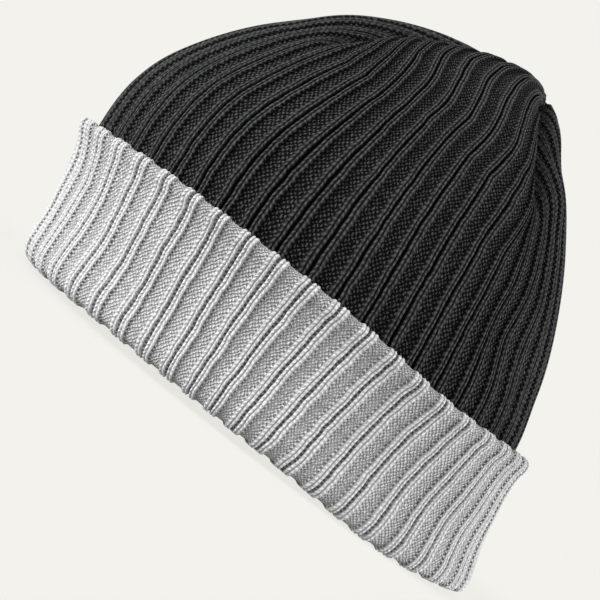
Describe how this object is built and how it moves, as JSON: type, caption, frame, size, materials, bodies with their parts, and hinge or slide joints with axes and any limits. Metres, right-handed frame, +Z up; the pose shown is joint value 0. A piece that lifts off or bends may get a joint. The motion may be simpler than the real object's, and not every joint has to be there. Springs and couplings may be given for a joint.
{
  "type": "knit beanie",
  "caption": "Ribbed knit beanie with a darted crown and a contrasting turned-up cuff, shaped as if worn.",
  "frame": {"origin": "under the middle of the hat's box, on the plane that the cuff's fold stands on", "axes": "+Z up through the crown, -Y towards the forehead, +X towards the wearer's left"},
  "size_m": [0.1778, 0.2298, 0.1786],
  "materials": {
    "dark_knit": "charcoal rib knit, matt",
    "grey_knit": "light grey heather rib knit, matt",
    "dark_thread": "charcoal overlock yarn",
    "grey_thread": "light grey linking yarn",
    "label_satin": "blank off-white woven satin",
    "label_thread": "grey sewing thread"
  },
  "bodies": {
    "hat": {"crown_body": "dark_knit", "linking_seam": "grey_thread", "body_back_seam": "dark_thread", "crown_tack": "dark_thread", "dart_seam_front_left": "dark_thread", "dart_seam_front_right": "dark_thread", "dart_seam_back_left": "dark_thread", "dart_seam_back_right": "dark_thread", "label_stitches": "label_thread"},
    "cuff": {"cuff_band": "grey_knit", "cuff_back_seam": "grey_thread"},
    "label": {"care_label": "label_satin"}
  },
  "joints": [
    {"name": "cuff_turn_down", "type": "slide", "parent": "hat", "child": "cuff", "axis": [0, 0.2102, -0.9777], "range_m": [0, 0.05]},
    {"name": "label_flap", "type": "hinge", "parent": "hat", "child": "label", "pos_m": [0, 0.09117, 0.068], "axis": [-1, 0, 0], "range_deg": [-5, 150]}
  ]
}
